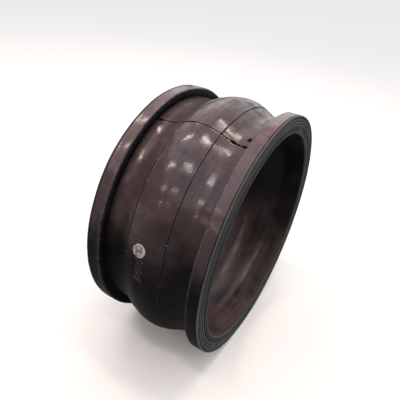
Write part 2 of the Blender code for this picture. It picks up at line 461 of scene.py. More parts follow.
def make_cover_rubber():
    """Moulded black cover: faces that look up painted lighter brown and those below near black, as painted
    light and shade, with dust in patches on top; lighter rubbed edges and painted highlights; painted shade
    in the seams and nicks.
    """
    material, tree, shader = new_material("moulded_cover", specular=0.02)
    grain = use_group(tree, GRAIN, Grain_Scale=340.0, Blotch_Scale=6.0)
    streaks = use_group(tree, STREAKS, Fineness=1.0)
    dust_and_light = use_group(tree, DUST_AND_TOP_LIGHT, Patch_Scale=7.0, Evenness=0.45)
    wear_and_highlight = use_group(tree, WEAR_AND_HIGHLIGHT, Edge=painted_value(tree, "edge"), Scuff_Scale=140.0)["Mask"]
    seam = painted_value(tree, "seam")
    base = mixed(tree, grain["Blotch"], (0.0026, 0.0032, 0.0028), (0.0062, 0.0056, 0.0056))
    # Painted light and shade: faces that look up are laid lighter brown, faces that look down stay near
    # black.
    base = over(tree, base, dust_and_light["Upward"], 0.80, (0.033, 0.0225, 0.026))
    base = over(tree, base, dust_and_light["Bloom"], 0.66, (0.15, 0.097, 0.101))
    place = object_place(tree)
    # A painted sheen: patches of purple laid only on faces that look up.
    painted_purple_sheen = spread(tree, noise(tree, place, 4.5, 3.0, 0.5), 0.50, 0.66, 0.0, 0.75)
    base = over(tree, base, painted_purple_sheen, dust_and_light["Upward"], (0.03, 0.027, 0.043))
    # Lighter rim outside, laid only where it looks up: partly pale dust, partly painted top light.
    chalk = times(tree, painted_value(tree, "chalk"), dust_and_light["Upward"])
    base = over(tree, base, chalk, spread(tree, dust_and_light["Bloom"], 0.0, 0.8, 0.06, 0.48), (0.175, 0.112, 0.118))
    # Lighter streaks along the pipe, laid only where faces look up: wipe marks with painted top light.
    base = over(tree, base, times(tree, streaks["Along"], dust_and_light["Upward"]), 0.10, (0.15, 0.11, 0.115))
    # Lighter rubbed edges, painted highlights on the flash ridges and seam lips, and painted light on the
    # rims' inner walls.
    base = over(tree, base, wear_and_highlight, 0.65, (0.09, 0.082, 0.11))
    # Painted shade: near black in the ditches, splits and nicks, and in the corner at the neck's root.
    base = over(tree, base, seam, 0.92, (0.002, 0.0018, 0.0022))
    gloss = spread(tree, grain["Blotch"], 0.0, 1.0, 0.46, 0.58)
    gloss = plus(tree, gloss, times(tree, dust_and_light["Bloom"], 0.20))
    set_look(tree, shader, base, plus(tree, gloss, times(tree, seam, 0.25)))
    wiped = spread(tree, noise(tree, place, 17.0, 5.0, 0.62), 0.36, 0.64, 0.42, 1.0)
    polish = times(tree, wiped, spread(tree, streaks["Round"], 0.0, 1.0, 1.0, 0.6))
    polish = times(tree, dust_and_light["Upward"], polish)
    polish = times(tree, polish, spread(tree, seam, 0.0, 0.6, 1.0, 0.0))
    tree.links.new(polish, shader.inputs["Coat Weight"])
    shader.inputs["Coat Roughness"].default_value = 0.17
    fine = use_group(tree, STREAKS, Fineness=2.7)
    height = plus(tree, times(tree, grain["Height"], 0.5), times(tree, streaks["Along"], 0.9))
    add_bump(tree, shader, plus(tree, height, times(tree, fine["Along"], 0.8)), 0.0006)
    return material


def make_face_rubber():
    """Sealing face: matt grey-black with a little pale dust, lighter rubbed corners, painted highlights on
    the ribs, and painted shade down in the grooves.
    """
    material, tree, shader = new_material("grooved_face", specular=0.04)
    grain = use_group(tree, GRAIN, Grain_Scale=420.0, Blotch_Scale=16.0)
    streaks = use_group(tree, STREAKS, Fineness=1.6)
    dust_and_light = use_group(tree, DUST_AND_TOP_LIGHT, Patch_Scale=20.0, Evenness=0.35)
    edge = painted_value(tree, "edge")
    wear_and_highlight = use_group(tree, WEAR_AND_HIGHLIGHT, Edge=edge, Scuff_Scale=60.0)["Mask"]
    # Lighter rubbed outer corner and bore lip, and painted highlights on the ribs.
    worn_and_lit = plus(tree, times(tree, edge, 0.55), times(tree, wear_and_highlight, 0.25))
    groove = painted_value(tree, "seam")
    base = mixed(tree, grain["Blotch"], (0.004, 0.0052, 0.0052), (0.009, 0.0105, 0.0105))
    base = over(tree, base, dust_and_light["Bloom"], 0.40, (0.095, 0.073, 0.071))
    base = over(tree, base, streaks["Along"], 0.12, (0.07, 0.066, 0.066))
    base = mixed(tree, worn_and_lit, base, (0.098, 0.1, 0.112))
    # Painted shade: near black down in the grooves.
    base = over(tree, base, groove, 0.94, (0.0018, 0.002, 0.0022))
    gloss = spread(tree, grain["Blotch"], 0.0, 1.0, 0.52, 0.66)
    set_look(tree, shader, base, plus(tree, gloss, times(tree, dust_and_light["Bloom"], 0.2)))
    tree.links.new(times(tree, dust_and_light["Upward"], 0.25), shader.inputs["Coat Weight"])
    shader.inputs["Coat Roughness"].default_value = 0.35
    add_bump(tree, shader, grain["Height"], 0.00025)
    return material


def make_tube_rubber():
    """Smooth lining: near black, lighter brown low down where the wall looks up, partly dust and partly
    painted light, with wrap marks of the mandrel.
    """
    material, tree, shader = new_material("smooth_lining", specular=0.06)
    grain = use_group(tree, GRAIN, Grain_Scale=200.0, Blotch_Scale=5.0)
    streaks = use_group(tree, STREAKS, Fineness=0.8)
    dust_and_light = use_group(tree, DUST_AND_TOP_LIGHT, Patch_Scale=8.0, Evenness=0.0)
    base = mixed(tree, grain["Blotch"], (0.003, 0.0036, 0.004), (0.008, 0.0068, 0.007))
    # Painted light: the lower wall of the bore, which looks up, is laid lighter brown, with dust patches and
    # lighter wrap marks, while the upper wall stays near black.
    base = over(tree, base, dust_and_light["Upward"], 0.35, (0.024, 0.015, 0.0142))
    base = over(tree, base, dust_and_light["Bloom"], 0.50, (0.15, 0.095, 0.092))
    base = over(tree, base, times(tree, streaks["Round"], dust_and_light["Upward"]), 0.25, (0.12, 0.085, 0.084))
    gloss = spread(tree, grain["Blotch"], 0.0, 1.0, 0.40, 0.52)
    set_look(tree, shader, base, plus(tree, gloss, times(tree, dust_and_light["Bloom"], 0.25)))
    tree.links.new(times(tree, dust_and_light["Upward"], 0.55), shader.inputs["Coat Weight"])
    shader.inputs["Coat Roughness"].default_value = 0.30
    height = plus(tree, times(tree, grain["Height"], 0.5), times(tree, streaks["Round"], 0.6))
    add_bump(tree, shader, height, 0.0004)
    return material


def make_ply_cord():
    """Rubberised nylon cord fabric: close brown cords laid on the bias."""
    material, tree, shader = new_material("cord_fabric", specular=0.3)
    grain = use_group(tree, GRAIN, Grain_Scale=500.0, Blotch_Scale=20.0)
    slanted = new_node(tree, "ShaderNodeMapping", ("Vector", object_place(tree)),
                       ("Rotation", (0.0, 0.0, math.radians(45))))
    cords = new_node(tree, "ShaderNodeTexWave", ("Vector", slanted.outputs["Vector"]), ("Scale", 260.0),
                     ("Distortion", 1.2), ("Detail", 2.0), wave_type="BANDS")
    base = mixed(tree, cords.outputs["Fac"], (0.045, 0.034, 0.026), (0.2, 0.16, 0.12))
    base = over(tree, base, grain["Blotch"], 0.4, (0.06, 0.045, 0.036))
    set_look(tree, shader, base, spread(tree, grain["Blotch"], 0.0, 1.0, 0.72, 0.90))
    add_bump(tree, shader, cords.outputs["Fac"], 0.0005)
    return material


def make_core_steel():
    """Bead wire wound side by side, brass plated."""
    material, tree, shader = new_material("bead_wire", metallic=1.0)
    grain = use_group(tree, GRAIN, Grain_Scale=600.0, Blotch_Scale=30.0)
    wires = new_node(tree, "ShaderNodeTexWave", ("Vector", object_place(tree)), ("Scale", 150.0),
                     ("Distortion", 0.4), wave_type="BANDS", bands_direction="X")
    base = mixed(tree, grain["Blotch"], (0.46, 0.36, 0.22), (0.6, 0.5, 0.34))
    set_look(tree, shader, base, spread(tree, grain["Blotch"], 0.0, 1.0, 0.30, 0.45))
    add_bump(tree, shader, wires.outputs["Fac"], 0.0004)
    return material


def make_filler_rubber():
    """Hard rubber packed round the bead wire."""
    material, tree, shader = new_material("bead_filler", specular=0.3)
    grain = use_group(tree, GRAIN, Grain_Scale=240.0, Blotch_Scale=12.0)
    base = mixed(tree, grain["Blotch"], (0.01, 0.009, 0.009), (0.024, 0.021, 0.02))
    set_look(tree, shader, base, spread(tree, grain["Blotch"], 0.0, 1.0, 0.70, 0.85))
    add_bump(tree, shader, grain["Height"], 0.0010)
    return material


def make_disc_metal():
    """Dull silver disc with black rubber smeared over parts of it."""
    material, tree, shader = new_material("dull_disc", metallic=0.30, specular=0.4)
    grain = use_group(tree, GRAIN, Grain_Scale=900.0, Blotch_Scale=60.0)
    dust_and_light = use_group(tree, DUST_AND_TOP_LIGHT, Patch_Scale=70.0, Evenness=0.3)
    smear = spread(tree, noise(tree, object_place(tree), 95.0, 5.0, 0.7), 0.44, 0.60)
    base = mixed(tree, grain["Blotch"], (0.22, 0.205, 0.19), (0.44, 0.41, 0.38))
    base = over(tree, base, dust_and_light["Bloom"], 0.5, (0.36, 0.34, 0.32))
    base = over(tree, base, smear, 0.8, (0.03, 0.026, 0.026))
    set_look(tree, shader, base, spread(tree, grain["Blotch"], 0.0, 1.0, 0.36, 0.56))
    add_bump(tree, shader, grain["Height"], 0.0003)
    return material


LOOKS = {
    "cover_rubber": make_cover_rubber(),
    "face_rubber": make_face_rubber(),
    "tube_rubber": make_tube_rubber(),
    "ply_cord": make_ply_cord(),
    "core_steel": make_core_steel(),
    "filler_rubber": make_filler_rubber(),
    "disc_metal": make_disc_metal(),
}


def finish_piece(piece, slot, replaced=()):
    piece.data.materials.clear()
    piece.data.materials.append(LOOKS[slot])
    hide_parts(*replaced)


def blend_in_zone(piece):
    """Bake a piece's place into its mesh."""
    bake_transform(piece)


# ---------------- geometry trees

def combined(tree, x=0.0, y=0.0, z=0.0):
    return new_node(tree, "ShaderNodeCombineXYZ", ("X", x), ("Y", y), ("Z", z))


def new_geometry_tree(name, inputs):
    """An empty geometry tree with named inputs (name, kind, default) and one geometry output."""
    tree = bpy.data.node_groups.new(name, "GeometryNodeTree")
    for label, kind, default in inputs:
        socket = tree.interface.new_socket(label, in_out="INPUT", socket_type="NodeSocket" + kind)
        if default is not None:
            socket.default_value = default
    tree.interface.new_socket("Geometry", in_out="OUTPUT", socket_type="NodeSocketGeometry")
    return tree, tree.nodes.new("NodeGroupInput").outputs, tree.nodes.new("NodeGroupOutput").inputs


def end_tree(tree, given, result, geometry):
    real = new_node(tree, "GeometryNodeRealizeInstances", (0, geometry))
    coloured = new_node(tree, "GeometryNodeSetMaterial", ("Geometry", real), ("Material", given["Look"]))
    tree.links.new(coloured.outputs[0], result["Geometry"])


def run_tree(name, tree, values):
    """Evaluate a geometry tree with its named inputs set, and keep the result as a plain mesh."""
    carrier = new_object(name + "_carrier", bpy.data.meshes.new(name + "_carrier"))
    modifier = carrier.modifiers.new("make", "NODES")
    modifier.node_group = tree
    for item in tree.interface.items_tree:
        if item.in_out == "INPUT" and item.name in values:
            modifier[item.identifier] = values[item.name]
    bpy.context.view_layer.update()
    evaluated = carrier.evaluated_get(bpy.context.evaluated_depsgraph_get())
    mesh = bpy.data.meshes.new_from_object(evaluated)
    mesh.name = name
    bpy.data.objects.remove(carrier)
    bm = bmesh.new()
    bm.from_mesh(mesh)
    bmesh.ops.recalc_face_normals(bm, faces=bm.faces[:])
    bm.to_mesh(mesh)
    bm.free()
    smooth(mesh)
    return new_object(name, mesh)


def between(tree, share, low, high):
    return plus(tree, low, times(tree, share, minus(tree, high, low)))


def make_layer_tree():
    """One layer of the hose wall between two places along the pipe, turned as a closed ring.

    A flat grid is rolled up twice: its rows go out along the layer's outer skin and back along
    its inner skin, and its columns go round the bore. The skin's radius follows the arch's rule.
    """
    tree, given, result = new_geometry_tree("wall_layer", [
        ("Low", "Float", -0.1), ("High", "Float", 0.1), ("Arch Half", "Float", 0.14),
        ("Fullness", "Float", 1.12), ("Neck Radius", "Float", 0.4), ("Crown Radius", "Float", 0.44),
        ("Thickness", "Float", 0.005), ("Axis Height", "Float", 0.45), ("Rows", "Int", 12),
        ("Columns", "Int", 180), ("Waviness", "Float", 0.0), ("Look", "Material", None)])
    both_skins = times(tree, given["Rows"], 2.0)
    grid = new_node(tree, "GeometryNodeMeshGrid", ("Size X", 1.0), ("Size Y", 1.0),
                    ("Vertices X", plus(tree, both_skins, 1.0)),
                    ("Vertices Y", plus(tree, given["Columns"], 1.0)))
    flat = new_node(tree, "ShaderNodeSeparateXYZ", (0, tree.nodes.new("GeometryNodeInputPosition")))
    row = calc(tree, "ROUND", times(tree, plus(tree, flat.outputs["X"], 0.5), both_skins))
    row = calc(tree, "MODULO", row, both_skins)
    on_outer = calc(tree, "LESS_THAN", row, minus(tree, given["Rows"], 0.5))
    back_row = minus(tree, minus(tree, both_skins, 1.0), row)
    share = calc(tree, "DIVIDE", between(tree, on_outer, back_row, row), minus(tree, given["Rows"], 1.0))
    eased = times(tree, minus(tree, 1.0, calc(tree, "COSINE", times(tree, share, math.pi))), 0.5)
    along = between(tree, eased, given["Low"], given["High"])
    reach = calc(tree, "DIVIDE", calc(tree, "ABSOLUTE", along), given["Arch Half"])
    reach = calc(tree, "MINIMUM", reach, 1.0)
    bent = times(tree, calc(tree, "POWER", reach, given["Fullness"]), math.pi)
    rise = times(tree, plus(tree, calc(tree, "COSINE", bent), 1.0), 0.5)
    skin = between(tree, rise, given["Neck Radius"], given["Crown Radius"])
    angle = times(tree, plus(tree, flat.outputs["Y"], 0.5), 2.0 * math.pi)
    across, up = calc(tree, "COSINE", angle), calc(tree, "SINE", angle)
    round_bore = combined(tree, times(tree, along, 9.0), times(tree, across, 3.2), times(tree, up, 3.2))
    lumps = minus(tree, noise(tree, round_bore, 1.0, 3.0, 0.5), 0.5)
    lumps = times(tree, lumps, given["Waviness"])
    lumps = times(tree, lumps, minus(tree, 1.0, on_outer))
    radius = plus(tree, skin, plus(tree, lumps, times(tree, on_outer, given["Thickness"])))
    height = plus(tree, times(tree, radius, up), given["Axis Height"])
    place = combined(tree, along, times(tree, radius, across), height)
    rolled = new_node(tree, "GeometryNodeSetPosition", ("Geometry", grid.outputs["Mesh"]),
                      ("Position", place))
    closed = new_node(tree, "GeometryNodeMergeByDistance", ("Geometry", rolled), ("Distance", 0.00002))
    end_tree(tree, given, result, closed)
    return tree


LAYER_TREE = make_layer_tree()


def wall_layer(name, low, high, inner, thickness, look, rows, columns, waviness):
    """A lining or ply layer; inner gives its inner radii at the neck and at the crown."""
    return run_tree(name, LAYER_TREE, {
        "Low": low, "High": high, "Arch Half": ARCH_HALF, "Fullness": ARCH_FULLNESS, "Neck Radius": inner[0],
        "Crown Radius": inner[1], "Thickness": thickness, "Axis Height": AXIS_HEIGHT, "Rows": rows,
        "Columns": columns, "Waviness": waviness, "Look": LOOKS[look]})


LINING_INNER = (BORE_RADIUS, CROWN_INNER)
PLIES_INNER = (BORE_RADIUS + TUBE + GAP, CROWN_INNER + TUBE + GAP)
LINING_WAVES = 0.0022


def lining(name, low, high):
    return wall_layer(name, low, high, LINING_INNER, TUBE, "tube_rubber", 20, 450, LINING_WAVES)


# ---------------- the rubber arch

THETA = around_the_bore()
BESIDE = 0.0004                      # from a piece's end to its nearest row


def stations(low, high, spacing, lines=()):
    """Even places from low to high, closer at given lines and one right beside each end."""
    count = max(2, math.ceil((high - low) / spacing))
    places = list(np.linspace(low, high, count + 1)) + [low + BESIDE, high - BESIDE]
    for line in lines:
        places += [line + d for d in np.arange(-0.0060, 0.00601, 0.0004)]
    return np.unique(np.round([p for p in places if low <= p <= high], 6))


def cover_section(low, high, lines):
    """The cover's skin between two places, with its closer rows at the mould lines."""
    top = stations(low, high, 0.0026, lines)
    under = stations(low, high, 0.012)
    return ([(x, float(cover_radius(x))) for x in top[::-1]]
            + [(x, float(lining_radius(x)) + TUBE + PLIES + 2 * GAP) for x in under])


def cover_relief(x, radius, theta):
    outside = smoothstep(radius, cover_radius(x) - 0.004, cover_radius(x) - 0.001)
    return x, radius + outside * mould_relief(x, theta)


def cover_paint(x, radius, theta):
    flash, ditch, split, lips, nick = seam_marks(x, theta)
    # Painted shade: near black in the ditches, the half seam's split and the nicks, the nicks by their
    # depth.
    black = np.clip(ditch + split + nick / BLACK_NICK, 0.0, 1.0)
    # Painted highlight on the flash ridges and seam lips, stored in the edge mask.
    return {"seam": black, "edge": np.clip(0.55 * flash + 0.25 * lips, 0.0, 1.0)}


def make_arch():
    """The arch in its five bend zones, each with cover, plies and lining."""
    lines = [side * MOULD_LINE + shift for side in (1, -1) for shift in (0.0, MISMATCH_ALONG)]
    for i, zone in enumerate(["flank_a", "crown_a", None, "crown_b", "flank_b"]):
        low, high = float(BEND_EDGES[i]), float(BEND_EDGES[i + 1])
        number = str(i + 1)
        section = cover_section(low, high, lines)
        cover = turned("arch_cover_" + number, section, THETA, cover_relief, cover_paint)
        plies = wall_layer("arch_plies_" + number, low, high, PLIES_INNER, PLIES, "ply_cord", 9, 180, 0.0)
        tube = lining("arch_lining_" + number, low, high)
        for piece, slot, layer in ((cover, "cover_rubber", "_cover"), (plies, "ply_cord", "_plies"),
                                   (tube, "tube_rubber", "_tube")):
            finish_piece(piece, slot, [zone + layer] if zone else [])
            blend_in_zone(piece)


# ---------------- the two ends

RIM_BACK_CORNER = 0.0055
NECK_FILLET = 0.0050
FACE_CORNER = 0.0030
LIP_CORNER = 0.0065
PARTING = 0.0007                     # rounding where two rubbers meet at the rim's outside
RIM_SKIN = 0.008                     # how deep the rim's cover goes


def end_cover_section():
    """Neck and rim in one skin: the neck's outside, the rim's inner wall and its outside."""
    under = TUBE_OUTER + GAP + PLIES + GAP
    front = FACE_BACK - GAP
    outside = [(front, RIM_RADIUS - RIM_SKIN), (front, RIM_RADIUS - PARTING)]
    outside += arc(front - PARTING, RIM_RADIUS - PARTING, PARTING, 0, 90, 4)
    outside += arc(RIM_X + RIM_BACK_CORNER, RIM_RADIUS - RIM_BACK_CORNER, RIM_BACK_CORNER, 90, 180)
    outside += arc(RIM_X - NECK_FILLET, NECK_RADIUS + NECK_FILLET, NECK_FILLET, 0, -90)
    outside += [(END_X + BESIDE, NECK_RADIUS), (END_X, NECK_RADIUS)]
    inside = [(END_X, under), (RIM_X + RIM_SKIN, under), (RIM_X + RIM_SKIN, RIM_RADIUS - RIM_SKIN)]
    return split_long(outside, 0.0030) + split_long(outside[-1:] + inside + outside[:1], 0.012)


def wall_split(radius, theta):
    """The half seam runs on up the rim's inner wall and fades at its corner."""
    up_the_wall = smoothstep(radius, NECK_RADIUS - 0.002, NECK_RADIUS + 0.004)
    up_the_wall = up_the_wall * (1.0 - smoothstep(radius, RIM_RADIUS - 0.010, RIM_RADIUS - 0.003))
    return hump(seam_distance(theta) * NECK_RADIUS, 0.0022) * up_the_wall


def on_rim(radius):
    return smoothstep(radius, RIM_RADIUS - 0.006, RIM_RADIUS - 0.001)


def rim_waves(x, radius, theta, side):
    """Soft waves on the rim's outside, which its cover and its face share."""
    waves = ripple(x, theta, 31 + side, 0.00050, 12, 0.3) + ripple(x, theta, 33 + side, 0.00018, 60, 0.04)
    return on_rim(radius) * waves


def parting_line(x, radius):
    """The dark line where face and cover meet on the rim's outside."""
    outermost = smoothstep(radius, RIM_RADIUS - 0.003, RIM_RADIUS - 0.001)
    return 0.9 * hump(np.abs(x) - FACE_BACK, 0.0010) * outermost


def end_cover_relief(side):
    def relief(x, radius, theta):
        on_neck = smoothstep(radius, NECK_RADIUS - 0.004, NECK_RADIUS - 0.001)
        on_neck = on_neck * (1.0 - smoothstep(np.abs(x), RIM_X - 0.006, RIM_X))
        wall = (1.0 - on_neck) * (1.0 - on_rim(radius)) * hump(np.abs(x) - RIM_X, 0.006)
        bulge = 0.0008 * wall * ripple(x * 0.0, theta, 35 + side, 1.0, 5, 1.0) * side
        bulge = bulge + side * 0.0020 * wall * wall_split(radius, theta)
        return x + bulge, radius + on_neck * mould_relief(x, theta) + rim_waves(x, radius, theta, side)
    return relief


def end_cover_paint(x, radius, theta):
    _, _, split, _, nick = seam_marks(x, theta)
    from_wall = np.abs(x) - RIM_X
    on_neck = 1.0 - smoothstep(from_wall, -0.006, 0.002)
    # Painted shade: near black in the corner where the neck meets the rim's inner wall, and in the half
    # seam's split up that wall.
    root = hump(np.hypot(from_wall, radius - NECK_RADIUS), 0.0080)
    on_wall = hump(from_wall, 0.004) * wall_split(radius, theta)
    black = np.clip(on_neck * (split + nick / BLACK_NICK) + 0.8 * root + on_wall, 0.0, 1.0)
    back_corner = hump(np.hypot(from_wall, radius - RIM_RADIUS), 0.0060)
    wall = hump(from_wall, 0.003) * smoothstep(radius, NECK_RADIUS + 0.006, NECK_RADIUS + 0.022)
    # Painted light on the rims' inner walls, lighter towards the top of the bore.
    painted_wall_light = 0.36 * wall * smoothstep(np.sin(theta), -0.3, 0.7)
    return {"seam": np.maximum(black, parting_line(x, radius)),
            "edge": np.clip(back_corner + painted_wall_light, 0.0, 1.0),
            "chalk": smoothstep(radius, RIM_RADIUS - 0.012, RIM_RADIUS - 0.001)}


def groove_radii():
    """The grooves' middles, from the corners that lie below the face."""
    corners = node_corners("end_b_sealing_face")
    deep = (corners[:, 0] > FACE_BACK + 0.001) & (corners[:, 0] < FACE_X - 0.001)
    radii = np.hypot(corners[deep, 1], corners[deep, 2] - AXIS_HEIGHT)
    return sorted(set(np.round(radii, 4).tolist()))


GROOVES = groove_radii()
GROOVE_DEPTH = 0.0024
GROOVE_WIDTH = 0.0017
LAND_CROWN = 0.0007


def grooves(radius, width):
    return sum(hump(radius - groove, width) for groove in GROOVES)


def ribs_between(radius):
    """The crowned ribs between the grooves."""
    half_pitch = (GROOVES[1] - GROOVES[0]) / 2
    return sum(hump(radius - groove - half_pitch, GROOVE_WIDTH * 2) for groove in GROOVES[:-1])


def face_section():
    """The sealing face: rounded outer corner, ribbed land, smooth land and rounded bore lip."""
    outline = [(FACE_BACK, BORE_RADIUS), (FACE_BACK, RIM_RADIUS - PARTING)]
    outline += arc(FACE_BACK + PARTING, RIM_RADIUS - PARTING, PARTING, 180, 90, 4)
    outline += arc(FACE_X - FACE_CORNER, RIM_RADIUS - FACE_CORNER, FACE_CORNER, 90, 0)
    ribbed = np.arange(RIM_RADIUS - FACE_CORNER - 0.0006, GROOVES[0] - 0.006, -0.0006)
    outline += [(FACE_X, float(radius)) for radius in ribbed]
    outline += arc(FACE_X - LIP_CORNER, BORE_RADIUS + LIP_CORNER, LIP_CORNER, 0, -90)
    return split_long(outline + outline[:1], 0.0040)


def on_face(x):
    return smoothstep(np.abs(x), FACE_X - 0.0015, FACE_X - 0.0005)


def face_relief(side):
    def relief(x, radius, theta):
        uneven = 1.0 + ripple(radius, theta, 41 + side, 0.10, 20, 0.02)
        height = LAND_CROWN * ribs_between(radius) - GROOVE_DEPTH * grooves(radius, GROOVE_WIDTH) * uneven
        height = height + ripple(radius, theta, 43 + side, 0.00030, 9, 0.08)
        return x + side * on_face(x) * height, radius + rim_waves(x, radius, theta, side)
    return relief


def face_paint(x, radius, theta):
    # Painted shade: near black down in the grooves. The edge mask holds lighter rubbed corners and lip, with
    # painted highlight on the ribs.
    deep = np.clip(grooves(radius, GROOVE_WIDTH * 1.6), 0.0, 1.0)
    corner = hump(np.hypot(np.abs(x) - FACE_X, radius - RIM_RADIUS), 0.0045)
    lip = hump(np.hypot(np.abs(x) - FACE_X, radius - BORE_RADIUS), 0.0080)
    return {"seam": np.maximum(on_face(x) * deep, parting_line(x, radius)),
            "edge": np.clip(corner + 0.5 * lip + 0.85 * on_face(x) * ribs_between(radius), 0.0, 1.0)}


def mirrored(section, side):
    return [(side * x, radius) for x, radius in section]


def make_ends():
    for side, end in ((-1, "end_a"), (1, "end_b")):
        cover = turned(end + "_cover_skin", mirrored(end_cover_section(), side), THETA,
                       end_cover_relief(side), end_cover_paint)
        finish_piece(cover, "cover_rubber", [end + "_rim_cover", end + "_neck_cover"])
        face = turned(end + "_grooved_face", mirrored(face_section(), side), THETA,
                      face_relief(side), face_paint)
        finish_piece(face, "face_rubber", [end + "_sealing_face"])
        reach = sorted((side * END_X, side * (FACE_BACK - GAP)))
        tube = lining(end + "_lining", *reach)
        finish_piece(tube, "tube_rubber", [end + "_tube"])
        for piece in (cover, face, tube):
            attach(piece, end)
        for node, slot in (("_bead_plies", "ply_cord"), ("_bead_core", "core_steel"),
                           ("_bead_filler", "filler_rubber")):
            nodes[end + node].material_slots[0].material = LOOKS[slot]


# ---------------- identity disc

def radial_frame(x, angle, radius):
    """Z out of the bore's axis at an angle, X along the pipe."""
    turn = Matrix.Rotation(angle - math.pi / 2, 4, "X")
    return Matrix.Translation((x, 0.0, AXIS_HEIGHT)) @ turn @ Matrix.Translation((0.0, 0.0, radius))


def make_identity_disc():
    """A blank disc: raised rim, sunk floor, one ring and a ring of plain pips."""
    low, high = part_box("identity_disc")
    centre = (low + high) / 2
    angle = math.atan2(centre.z - AXIS_HEIGHT, centre.y)
    disc_radius = (high.x - low.x) / 2
    top = CROWN_RADIUS + 0.0015
    sunk, pip_circle, segments, pips = -0.0011, 0.57, 72, 16
    profile = [(0.20, sunk), (0.26, -0.0005), (0.34, -0.0005), (0.40, sunk), (0.74, sunk), (0.82, -0.0002),
               (0.88, 0.0), (0.95, -0.0002), (1.0, -0.0010), (1.0, -0.0080)]

    def on_disc(share, turn, height):
        return Vector((share * disc_radius * math.cos(turn), share * disc_radius * math.sin(turn), height))

    bm = bmesh.new()
    rings = [[bm.verts.new(on_disc(share, 2 * math.pi * k / segments, height)) for k in range(segments)]
             for share, height in profile]
    for inner, outer in zip(rings, rings[1:]):
        for k in range(segments):
            after = (k + 1) % segments
            bm.faces.new((inner[k], outer[k], outer[after], inner[after]))
    bm.faces.new(rings[0])
    bm.faces.new(rings[-1][::-1])
    for k in range(pips):
        place = Matrix.Translation(on_disc(pip_circle, 2 * math.pi * k / pips, sunk))
        bmesh.ops.create_uvsphere(bm, u_segments=10, v_segments=6, radius=0.0011, matrix=place)
    bm.transform(radial_frame(centre.x, angle, top))
    mesh = bpy.data.meshes.new("blank_disc")
    bm.to_mesh(mesh)
    bm.free()
    smooth(mesh, sharp_from=35)
    disc = new_object("blank_disc", mesh)
    finish_piece(disc, "disc_metal", ["identity_disc"])
    blend_in_zone(disc)
    return angle, centre.x


# ---------------- repeated marks of the mould

def standing_on_ring(tree, given, instance):
    """Put copies on points of a ring round the bore, turned to stand on its outside."""
    line = new_node(tree, "GeometryNodeMeshLine", ("Count", given["Count"]), ("Offset", (0.0, 0.0, 0.0)),
                    mode="OFFSET")
    index = tree.nodes.new("GeometryNodeInputIndex")
    angle = plus(tree, times(tree, index, given["Pitch"]), given["First Angle"])
    across = times(tree, calc(tree, "COSINE", angle), given["Radius"])
    up = plus(tree, times(tree, calc(tree, "SINE", angle), given["Radius"]), given["Axis Height"])
    points = new_node(tree, "GeometryNodeSetPosition", ("Geometry", line),
                      ("Position", combined(tree, given["Along"], across, up)))
    copies = new_node(tree, "GeometryNodeInstanceOnPoints", ("Points", points),
                      ("Instance", instance), ("Rotation", combined(tree, minus(tree, angle, math.pi / 2))))
    return copies


RING_INPUTS = [
    ("Count", "Int", 20), ("Pitch", "Float", 0.1), ("First Angle", "Float", 0.0), ("Radius", "Float", 0.4),
    ("Axis Height", "Float", 0.4), ("Along", "Float", 0.0), ("Width", "Float", 0.003),
    ("Length", "Float", 0.01), ("Height", "Float", 0.001), ("Slant", "Float", 0.0), ("Rubbed", "Float", 0.0),
    ("Look", "Material", None),
]


def paint_rubbed(tree, given, geometry):
    return new_node(tree, "GeometryNodeStoreNamedAttribute", ("Geometry", geometry), ("Name", "edge"),
                    ("Value", given["Rubbed"]), data_type="FLOAT", domain="POINT")


def given_size(tree, given):
    return combined(tree, given["Length"], given["Width"], given["Height"])


def make_nib_tree():
    """Trimmed vent nibs on a mould line: small flattened domes."""
    tree, given, result = new_geometry_tree("vent_nibs", RING_INPUTS)
    dome = new_node(tree, "GeometryNodeMeshIcoSphere", ("Radius", 1.0), ("Subdivisions", 3))
    shaped = new_node(tree, "GeometryNodeTransform", ("Geometry", dome),
                      ("Scale", given_size(tree, given)))
    painted = paint_rubbed(tree, given, shaped)
    end_tree(tree, given, result, standing_on_ring(tree, given, painted))
    return tree


def make_tick_tree():
    """A row of plain raised bars, slanted and rounded, with every third one longer."""
    tree, given, result = new_geometry_tree("raised_ticks", RING_INPUTS)
    bar = new_node(tree, "GeometryNodeMeshCube", ("Size", given_size(tree, given)), ("Vertices X", 9),
                   ("Vertices Y", 3), ("Vertices Z", 3))
    soft = new_node(tree, "GeometryNodeSubdivisionSurface", ("Mesh", bar), ("Level", 1))
    painted = paint_rubbed(tree, given, soft)
    shaped = new_node(tree, "GeometryNodeTransform", ("Geometry", painted),
                      ("Rotation", combined(tree, z=given["Slant"])))
    copies = standing_on_ring(tree, given, shaped)
    third = calc(tree, "MODULO", tree.nodes.new("GeometryNodeInputIndex"), 3.0)
    shrink = minus(tree, 1.0, times(tree, calc(tree, "MINIMUM", third, 1.0), 0.22))
    scaled = new_node(tree, "GeometryNodeScaleInstances", ("Instances", copies),
                      ("Scale", combined(tree, shrink, 1.0, 1.0)))
    end_tree(tree, given, result, scaled)
    return tree


NIBS = 20


